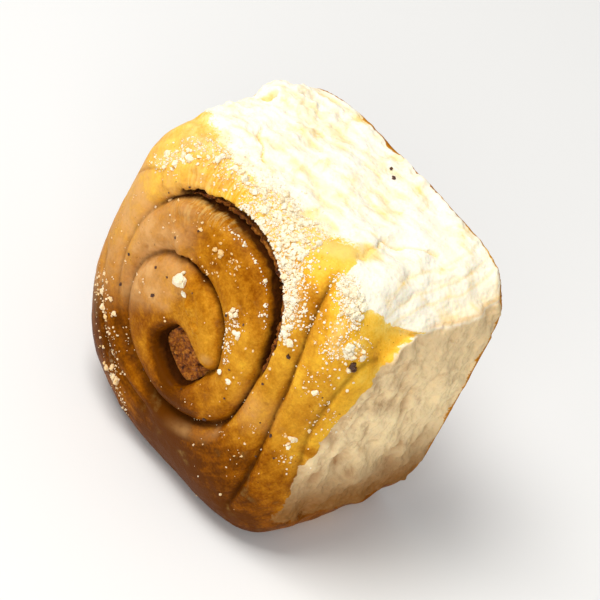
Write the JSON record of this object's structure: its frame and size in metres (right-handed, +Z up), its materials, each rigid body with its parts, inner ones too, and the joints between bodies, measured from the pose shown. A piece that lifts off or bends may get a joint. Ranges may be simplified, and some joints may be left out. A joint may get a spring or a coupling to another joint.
{
  "type": "cinnamon bun",
  "caption": "Pull-apart cinnamon bun lying on one baked side: a domed coil with an open gap, a pit of filling, two torn crumb sides, a flat underside and coarse sugar crumbs.",
  "frame": {"origin": "centre of the bounding box's bottom, where the bun rests on its baked side", "axes": "+Z up through the torn upper side, -Y out of the swirl, +Y out of the flat underside, +X toward the second torn side"},
  "size_m": [0.0984, 0.0676, 0.0968],
  "materials": {
    "crust": "golden to brown baked crust with a soft sheen, and matt cream crumb where it is torn",
    "filling": "dark rough cinnamon paste",
    "sugar": "matt coarse sugar crumbs, pale cream"
  },
  "bodies": {
    "root": {"dough": "crust", "filling": "filling"}
  },
  "joints": []
}
